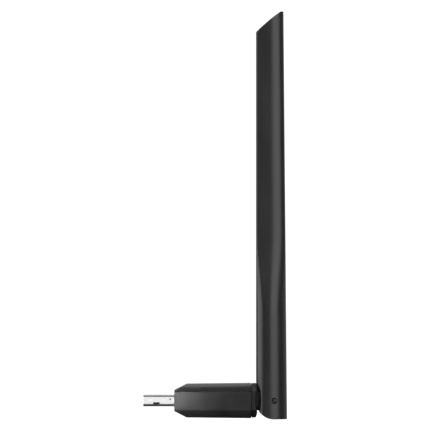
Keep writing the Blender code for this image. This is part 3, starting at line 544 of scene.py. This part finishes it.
def make_collar(finishes):
    collar = prism("collar", collar_outline(), "YZ", COLLAR_FRONT, COLLAR_REAR)
    trim_collar(collar)
    stem = rounded(BLOCK_HALF_WIDTH, (BLOCK_TOP - BLOCK_BOTTOM) / 2, 0.5 * MM,
                   (0, (BLOCK_TOP + BLOCK_BOTTOM) / 2))
    carve(collar, prism("collar_stem", stem, "YZ", COLLAR_FRONT + 0.5 * MM, PIN_X + BLOCK_REAR),
          "UNION")
    tongue_start = PIN_X + BLOCK_REAR - MM
    tongue = [(tongue_start, -TONGUE_RADIUS)] + arc((PIN_X, 0), TONGUE_RADIUS, -90, 90, 32)
    tongue.append((tongue_start, TONGUE_RADIUS))
    carve(collar, prism("tongue", tongue, "XZ", -TONGUE_HALF_WIDTH, TONGUE_HALF_WIDTH), "UNION")
    carve(collar, prism("web", web_outline(), "XZ", -TONGUE_HALF_WIDTH, TONGUE_HALF_WIDTH), "UNION")
    carve(collar, tube("journal", (0, 0), "YZ", JOURNAL_RADIUS, JOURNAL_START,
                       COLLAR_FRONT + 0.6 * MM, 120), "UNION")
    carve(collar, tube("spigot", (0, 0), "YZ", SPIGOT_RADIUS, SPIGOT_START, COLLAR_FRONT + MM),
          "UNION")
    carve(collar, collar_ring("clip_groove", SPIGOT_RADIUS - 0.5 * MM, SPIGOT_RADIUS + MM,
                              *CLIP_GROOVE))
    carve(collar, tube("cable_bore", (0, 0), "YZ", 1.6 * MM, SPIGOT_START - MM, CABLE_BORE_END, 48))
    carve(collar, tube("cable_outlet", (35.3 * MM, 0), "XY", 0.9 * MM, 0.3 * MM, 5.3 * MM, 40))
    carve(collar, tube("tongue_bore", (PIN_X, 0), "XZ", 0.96 * MM, -10 * MM, 10 * MM, 52))
    stand_in(collar, "swivel_collar", finishes["housing_plastic"])


def collar_outline():
    """Straight sides with 45 degree chamfers to the flat top and bottom."""
    half_width = HALF_WIDTH - 0.1 * MM
    side = SIDE_HALF_HEIGHT - COLLAR_LIFT
    top = half_width - (COLLAR_HALF_HEIGHT - side)
    quarter = [(half_width, side), (top, COLLAR_HALF_HEIGHT)]
    upper = quarter + [(-y, z) for y, z in reversed(quarter)]
    lower = [(y, -z) for y, z in reversed(upper)]
    return [(y, z + COLLAR_LIFT) for y, z in upper + lower]


def web_outline():
    """The web along the tongue, which reaches in behind the edge of the aerial's notch."""
    edge = [(-7.4, 6.9), (-6.6, 6.8), (-5.5, 5.8), (-4.9, 4.4), (-4.5, 2.6), (-4.2, 0.0)]
    points = [(PIN_X + x * MM, z * MM) for x, z in edge + [(-4.2, -2.0)]]
    return points + [(PIN_X + BLOCK_REAR, WEB_BOTTOM), (PIN_X - 7.4 * MM, WEB_BOTTOM)]


def trim_collar(collar):
    """Room behind the collar for the aerial's foot as it folds, and a leaning lower edge."""
    carve(collar, tube("foot_sweep", (PIN_X, 0), "XZ", FOLD_RADIUS + 0.5 * MM, -WIDE, WIDE, 160))
    seat = PIN_X - FOLD_RADIUS - CLEARANCE
    carve(collar, prism("foot_pocket", pocket_outline(), "YZ", seat, PIN_X))
    lean = [(32.4 * MM, -7.2 * MM), (33.3 * MM, -4.4 * MM), (36 * MM, -4.4 * MM),
            (36 * MM, -7.2 * MM)]
    carve(collar, prism("lower_lean", lean, "XZ", -WIDE, WIDE))
    carve(collar, block("upper_step", (COLLAR_REAR - CLEARANCE, -WIDE, SIDE_HALF_HEIGHT),
                        (PIN_X, WIDE, 9 * MM)))


def pocket_outline():
    """What the aerial's foot passes through at the collar's rear face as it folds."""
    steps = 20
    room = 0.3 * MM
    plane = PIN_X - COLLAR_REAR
    right = []
    for k in range(steps + 1):
        reach = AERIAL_BACK_LOW * k / steps
        drop = math.sqrt(reach ** 2 + FOLD_RADIUS ** 2 - plane ** 2)
        right.append((foot_width_at(reach) + room, -drop))
    return [(-right[0][0], 0), (right[0][0], 0)] + right + [(-y, z) for y, z in reversed(right)]


# ---------------------------------------------------------------- aerial

AERIAL_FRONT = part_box("aerial_shell_near")[0].x - PIN_X
AERIAL_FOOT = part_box("aerial_shell_near")[0].z
AERIAL_TIP = 155.5 * MM
AERIAL_SHOULDER = 147.4 * MM           # where the slanted top meets the plug-side edge
AERIAL_BACK_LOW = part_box("aerial_shell_near")[1].x - PIN_X
AERIAL_BACK_HIGH = 3.75 * MM
FOOT_HALF_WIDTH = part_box("aerial_shell_far")[1].y
BLADE_HALF_WIDTH = 7.0 * MM
FLARE_START = 34.0 * MM
FLARE_END = 66.0 * MM
AERIAL_WALL = 1.6 * MM
FORK_TOP = 7.4 * MM                    # of the hollow round the tongue
CAVITY_FOOT = 9.2 * MM                 # of the hollow in the blade
BOSS_RADIUS = 4.0 * MM
BOSS_INNER = 3.5 * MM
PIN_HOLE_RADIUS = 0.95 * MM
PIN_RECESS_RADIUS = 1.2 * MM
HEEL_TOP = -4.8 * MM                   # where the back wall is thinned for the web's lower end
SEAM_HALF_WIDTH = 0.004 * MM           # between the two halves


def aerial_dimensions(z, inset=0.0):
    """Front x, back x, half width, and where the flat side starts and ends, at a height."""
    t = min(max((z - FLARE_START) / (FLARE_END - FLARE_START), 0.0), 1.0)
    share = t * t * (3 - 2 * t)
    rise = (z - AERIAL_FOOT) / (AERIAL_TIP - AERIAL_FOOT)
    back = AERIAL_BACK_LOW + (AERIAL_BACK_HIGH - AERIAL_BACK_LOW) * rise
    half_width = FOOT_HALF_WIDTH + (BLADE_HALF_WIDTH - FOOT_HALF_WIDTH) * share - inset
    return {
        "front": AERIAL_FRONT + inset,
        "back": back - inset,
        "half_width": half_width,
        "front_end": AERIAL_FRONT + max((4.0 - 3.1 * share) * MM, 1.2 * inset),
        "front_flat": min((4.5 + 1.7 * share) * MM, half_width - 0.2 * MM),
        "back_start": (-2.5 + 0.5 * share) * MM,
        "back_flat": max((1.6 + 1.6 * share) * MM - inset / 2, 0.3 * MM),
    }


def foot_width_at(x):
    """Half width of the aerial's outside at its foot, at a distance x behind the pin."""
    d = aerial_dimensions(AERIAL_FOOT)
    share = min((x - d["back_start"]) / (d["back"] - d["back_start"]), 1.0)
    return d["back_flat"] + (d["half_width"] - d["back_flat"]) * math.sqrt(1 - share * share)


def aerial_ring(z, inset=0.0, steps=18):
    """The section at a height: a curve from the front round to the flat side, and one behind."""
    d = aerial_dimensions(z, inset)
    half = []
    for k in range(steps + 1):
        turn = math.pi / 2 * k / steps
        half.append((d["front_end"] - (d["front_end"] - d["front"]) * math.cos(turn),
                     d["front_flat"] + (d["half_width"] - d["front_flat"]) * math.sin(turn)))
    for k in range(steps + 5):
        turn = math.pi / 2 * k / (steps + 4)
        half.append((d["back_start"] + (d["back"] - d["back_start"]) * math.sin(turn),
                     d["back_flat"] + (d["half_width"] - d["back_flat"]) * math.cos(turn)))
    whole = half + [(x, -y) for x, y in reversed(half)]
    return [(PIN_X + x, y, z) for x, y in whole]


def aerial_form(name, low, high, inset=0.0):
    """Rings at both ends, every 1.6 mm through the flare and every 10 mm above it."""
    flare = [FLARE_START + 1.6 * MM * k for k in range(21)]
    above = [FLARE_END + 10 * MM * k for k in range(1, 9)]
    below = [10 * MM, 22 * MM]
    inside = [z for z in below + flare + above if low < z < high]
    return loft(name, [aerial_ring(z, inset) for z in [low] + inside + [high]])


def cut_top(form, drop=0.0):
    """Slice off the slanted, slightly crowned top."""
    low = Vector((AERIAL_FRONT + 0.2 * MM, AERIAL_SHOULDER))
    high = Vector((2.6 * MM, AERIAL_TIP - 0.05 * MM))
    crown = 0.35 * MM
    line = []
    for k in range(17):
        t = k / 16
        middle = low.lerp(high, t)
        line.append((PIN_X + middle.x, middle.y + crown * 4 * t * (1 - t) - drop))
    left = (line[0][0] - 2 * MM, line[0][1] - 2.6 * MM)
    right = (PIN_X + 8 * MM, line[-1][1])
    above = [(right[0], AERIAL_TIP + 10 * MM), (left[0], AERIAL_TIP + 10 * MM)]
    carve(form, prism("top_cut", [left] + line + [right] + above, "XZ", -WIDE, WIDE))


def smooth_line(points, steps=4):
    """A Catmull-Rom curve through the points."""
    ends = [points[0]] + points + [points[-1]]
    line = []
    for a, b, c, d in zip(ends, ends[1:], ends[2:], ends[3:]):
        for k in range(steps):
            t = k / steps
            line.append(tuple(0.5 * (2 * q + (r - p) * t + (2 * p - 5 * q + 4 * r - s) * t * t
                                     + (3 * q - p - 3 * r + s) * t ** 3)
                              for p, q, r, s in zip(a, b, c, d)))
    return line + [points[-1]]


def notch_outline():
    """Where the cheeks stop short of the collar's stem."""
    line = [(-9.5, 8.9), (-7.4, 7.3), (-6.6, 6.5), (-6.0, 5.5), (-5.6, 4.2), (-5.4, 2.6),
            (-5.3, 0.0), (-5.4, -1.7), (-5.6, -3.0), (-5.9, -3.9), (-6.6, -4.6), (-9.5, -6.3)]
    return [(PIN_X + x * MM, z * MM) for x, z in smooth_line(line)]


def throat_outline():
    """The deeper notch between the cheeks, with room for the stem and its web."""
    line = [(-9.5, 9.1), (-7.4, 7.5), (-6.3, 7.2), (-5.1, 6.1), (-4.4, 4.6), (-4.1, 2.6),
            (-3.8, 0.0), (-4.0, -1.7), (-4.7, -3.0), (-5.6, -3.9), (-6.6, -4.6), (-9.5, -6.3)]
    return [(PIN_X + x * MM, z * MM) for x, z in smooth_line(line)]


def stem_room_outline():
    """What the collar's stem passes through in the foot as the aerial folds."""
    inner = -BLOCK_REAR - CLEARANCE
    far_x = -BLOCK_BOTTOM + CLEARANCE
    far_turn = 360 - math.degrees(math.acos(far_x / inner))
    band = arc((PIN_X, 0), inner, 160, far_turn, 48)
    return band + [(PIN_X + far_x, -WIDE), (PIN_X - WIDE, -WIDE), (PIN_X - WIDE, band[0][1])]


def hollow_out(form):
    """The hollow round the tongue, less the bosses that carry the pin, and the blade's."""
    fork = aerial_form("fork_hollow", -9 * MM, FORK_TOP, AERIAL_WALL)
    for side in (-1, 1):
        low, high = sorted((side * BOSS_INNER, side * WIDE))
        carve(fork, tube("pin_boss", (PIN_X, 0), "XZ", BOSS_RADIUS, low, high, 96))
    carve(form, fork)
    blade = aerial_form("blade_hollow", CAVITY_FOOT, AERIAL_TIP + MM, AERIAL_WALL)
    cut_top(blade, 2.2 * MM)
    carve(form, blade)


def shape_foot(form):
    """The notch, the round corner, and room for the collar as the aerial folds."""
    carve(form, prism("notch", notch_outline(), "XZ", -WIDE, WIDE))
    turn = arc((PIN_X, 0), FOLD_RADIUS, 215, 270, 40)
    below = [(PIN_X, -WIDE), (PIN_X - WIDE, -WIDE), (PIN_X - WIDE, turn[0][1])]
    carve(form, prism("foot_corner", turn + below, "XZ", -WIDE, WIDE))
    reach = BLOCK_HALF_WIDTH + CLEARANCE
    carve(form, prism("throat", throat_outline(), "XZ", -reach, reach))
    carve(form, prism("stem_room", stem_room_outline(), "XZ", -reach, reach))
    reach = TONGUE_HALF_WIDTH + CLEARANCE
    carve(form, block("heel_room", (PIN_X + 2.5 * MM, -reach, -WIDE),
                      (PIN_X - WEB_BOTTOM + CLEARANCE, reach, HEEL_TOP)))
    carve(form, tube("lead_passage", (PIN_X - 2.2 * MM, 0), "XY", 0.9 * MM, 5 * MM, 11 * MM, 40))
    carve(form, tube("pin_hole", (PIN_X, 0), "XZ", PIN_HOLE_RADIUS, -WIDE, WIDE, 60))
    for side in (-1, 1):
        low, high = sorted((side * 8 * MM, side * WIDE))
        carve(form, tube("pin_recess", (PIN_X, 0), "XZ", PIN_RECESS_RADIUS, low, high, 60))


def make_aerial(finishes):
    form = aerial_form("aerial_form", AERIAL_FOOT, AERIAL_TIP + MM)
    cut_top(form)
    hollow_out(form)
    shape_foot(form)
    for side, node in ((-1, "aerial_shell_near"), (1, "aerial_shell_far")):
        half = copy_of(form, node.replace("shell", "half"))
        low, high = sorted((-side * WIDE, side * SEAM_HALF_WIDTH))
        carve(half, block("other_half", (PIN_X - WIDE, low, -WIDE),
                          (PIN_X + WIDE, high, AERIAL_TIP + WIDE)))
        stand_in(half, node, finishes["aerial_plastic"])
    bpy.data.objects.remove(form)


# ---------------------------------------------------------------- light and camera

FIELD = 172 * MM                       # what the picture's width spans at the object
FIELD_CENTRE = Vector((16.28 * MM, 0.0, 74.16 * MM))
LENS = 600.0
SENSOR = 36.0


def make_camera():
    camera = bpy.data.objects.new("camera", bpy.data.cameras.new("camera"))
    bpy.context.scene.collection.objects.link(camera)
    camera.data.lens = LENS
    camera.data.sensor_width = SENSOR
    camera.data.clip_end = 20.0
    camera.location = FIELD_CENTRE - Vector((0, FIELD * LENS / SENSOR, 0))
    camera.rotation_euler = (math.pi / 2, 0, 0)
    bpy.context.scene.camera = camera


def softbox(name, place, target, width, height, radiance, beam=180, lights=()):
    """A rectangular light that faces target; beam is its spread in degrees.

    Where lights names some objects, it reaches only those."""
    light = bpy.data.lights.new(name, "AREA")
    light.shape = "RECTANGLE"
    light.size = width
    light.size_y = height
    light.energy = radiance * math.pi * width * height
    light.spread = math.radians(beam)
    lamp = bpy.data.objects.new(name, light)
    bpy.context.scene.collection.objects.link(lamp)
    lamp.location = place
    lamp.rotation_euler = (Vector(target) - Vector(place)).to_track_quat("-Z", "Y").to_euler()
    if lights:
        reached = bpy.data.collections.new(f"{name}_reach")
        for lit in lights:
            reached.objects.link(bpy.data.objects[lit])
        lamp.light_linking.receiver_collection = reached


def make_lights():
    """One softbox to each side and one above, and small ones for the nose, plug and edges."""
    housing = ("housing_cover", "housing_tub")
    black = housing + ("collar", "aerial_half_near", "aerial_half_far")
    softbox("left_softbox", (-0.205, -0.035, 0.06), (0.035, 0.0, 0.05), 0.33, 0.30, 2.9)
    softbox("nose_softbox", (-0.06, -0.16, 0.01), (-0.002, 0.0, 0.0), 0.02, 0.12, 2.2, beam=16,
            lights=housing)
    softbox("plug_softbox", (-0.006, -0.40, 0.0), (-0.006, 0.0, 0.0), 0.24, 0.16, 0.85,
            lights=("plug_shell",))
    softbox("right_softbox", (0.361, -0.383, 0.08), (0.04, 0.0, 0.07), 0.42, 0.60, 3.2)
    softbox("top_softbox", (0.0, 0.11, 0.42), (0.01, 0.0, 0.0), 0.30, 0.30, 1.9, lights=black)
    softbox("edge_strip", (0.0, -0.35, 0.21), (0.01, 0.0, 0.0), 0.16, 0.06, 4.5, lights=housing)
    softbox("low_strip", (0.008, -0.15, -0.07), (0.008, -0.15, 1.0), 0.12, 0.10, 1.2,
            lights=housing)


# How bright the studio looks in reflections, from straight behind the camera (-1)
# to straight behind the object (1), as shares of WORLD_PEAK
WORLD_PEAK = 1.6
WORLD_TONES = ((-1.00, 0.42), (-0.90, 0.45), (-0.77, 0.38), (-0.60, 0.14),
               (0.00, 0.04), (0.25, 0.20), (0.55, 0.45), (0.85, 0.45), (1.00, 0.50))
SEEN_WHITE = 1.1                       # strength of world and floor where the camera sees them
FLOOR_DROP = 70 * MM                   # from the object's lowest point


def world_brightness(nodes, links, direction):
    """Brightness by depth, as WORLD_TONES gives it, and the direction's parts."""
    parts = nodes.new("ShaderNodeSeparateXYZ")
    links.new(direction, parts.inputs["Vector"])
    share = nodes.new("ShaderNodeMapRange")
    share.inputs["From Min"].default_value = -1.0
    links.new(parts.outputs["Y"], share.inputs["Value"])
    tones = nodes.new("ShaderNodeValToRGB")
    stops = tones.color_ramp.elements
    while len(stops) < len(WORLD_TONES):
        stops.new(0.5)
    for stop, (depth, tone) in zip(stops, WORLD_TONES):
        stop.position = (depth + 1) / 2
        stop.color = (tone, tone, tone, 1.0)
    links.new(share.outputs["Result"], tones.inputs["Fac"])
    return tones.outputs["Color"], parts


def side_shade(nodes, links, parts):
    """Down to a quarter towards the plug's side of the studio."""
    shade = nodes.new("ShaderNodeMapRange")
    shade.interpolation_type = "SMOOTHSTEP"
    shade.inputs["From Min"].default_value = -0.75
    shade.inputs["From Max"].default_value = -0.25
    shade.inputs["To Min"].default_value = 0.25
    shade.inputs["To Max"].default_value = 1.0
    links.new(parts.outputs["X"], shade.inputs["Value"])
    return shade.outputs["Result"]


def make_world():
    """White where the camera sees it; in reflections, as WORLD_TONES says."""
    world = bpy.data.worlds.new("studio")
    bpy.context.scene.world = world
    world.use_nodes = True
    nodes, links = world.node_tree.nodes, world.node_tree.links
    nodes.clear()
    place = nodes.new("ShaderNodeTexCoord")
    tone, parts = world_brightness(nodes, links, place.outputs["Generated"])
    strength = nodes.new("ShaderNodeMath")
    strength.operation = "MULTIPLY"
    strength.inputs[1].default_value = WORLD_PEAK
    links.new(side_shade(nodes, links, parts), strength.inputs[0])
    lit = nodes.new("ShaderNodeBackground")
    links.new(tone, lit.inputs["Color"])
    links.new(strength.outputs[0], lit.inputs["Strength"])
    seen = nodes.new("ShaderNodeBackground")
    seen.inputs["Color"].default_value = (1.0, 1.0, 1.0, 1.0)
    seen.inputs["Strength"].default_value = SEEN_WHITE
    path = nodes.new("ShaderNodeLightPath")
    mix = nodes.new("ShaderNodeMixShader")
    links.new(path.outputs["Is Camera Ray"], mix.inputs["Fac"])
    links.new(lit.outputs[0], mix.inputs[1])
    links.new(seen.outputs[0], mix.inputs[2])
    out = nodes.new("ShaderNodeOutputWorld")
    links.new(mix.outputs[0], out.inputs["Surface"])


def make_floor():
    """A floor that is white to the camera and dark to light, well below the object."""
    work = bmesh.new()
    bmesh.ops.create_grid(work, x_segments=1, y_segments=1, size=4.0)
    mesh = bpy.data.meshes.new("floor")
    work.to_mesh(mesh)
    work.free()
    floor = bpy.data.objects.new("floor", mesh)
    bpy.context.scene.collection.objects.link(floor)
    floor.location.z = CAD_BOX[0].z - FLOOR_DROP
    made, nodes, links = new_material("floor_white")
    shader = nodes["Principled BSDF"]
    shader.inputs["Roughness"].default_value = 0.9
    shader.inputs["Emission Color"].default_value = (1.0, 1.0, 1.0, 1.0)
    path = nodes.new("ShaderNodeLightPath")
    glow = nodes.new("ShaderNodeMath")
    glow.operation = "MULTIPLY"
    glow.inputs[1].default_value = SEEN_WHITE
    links.new(path.outputs["Is Camera Ray"], glow.inputs[0])
    links.new(glow.outputs[0], shader.inputs["Emission Strength"])
    fine = grain_noise(nodes, links, even(0.05))
    links.new(two_tones(nodes, links, fine, grey(0.05), grey(0.06)), shader.inputs["Base Color"])
    floor.data.materials.append(made)


# ---------------------------------------------------------------- the scene


finishes = make_finishes()
dress_cad_nodes(finishes)
make_plug_shell(finishes)
make_housing(finishes)
make_collar(finishes)
make_aerial(finishes)
make_world()
make_lights()
make_floor()
make_camera()
bpy.context.scene.view_settings.view_transform = "Standard"
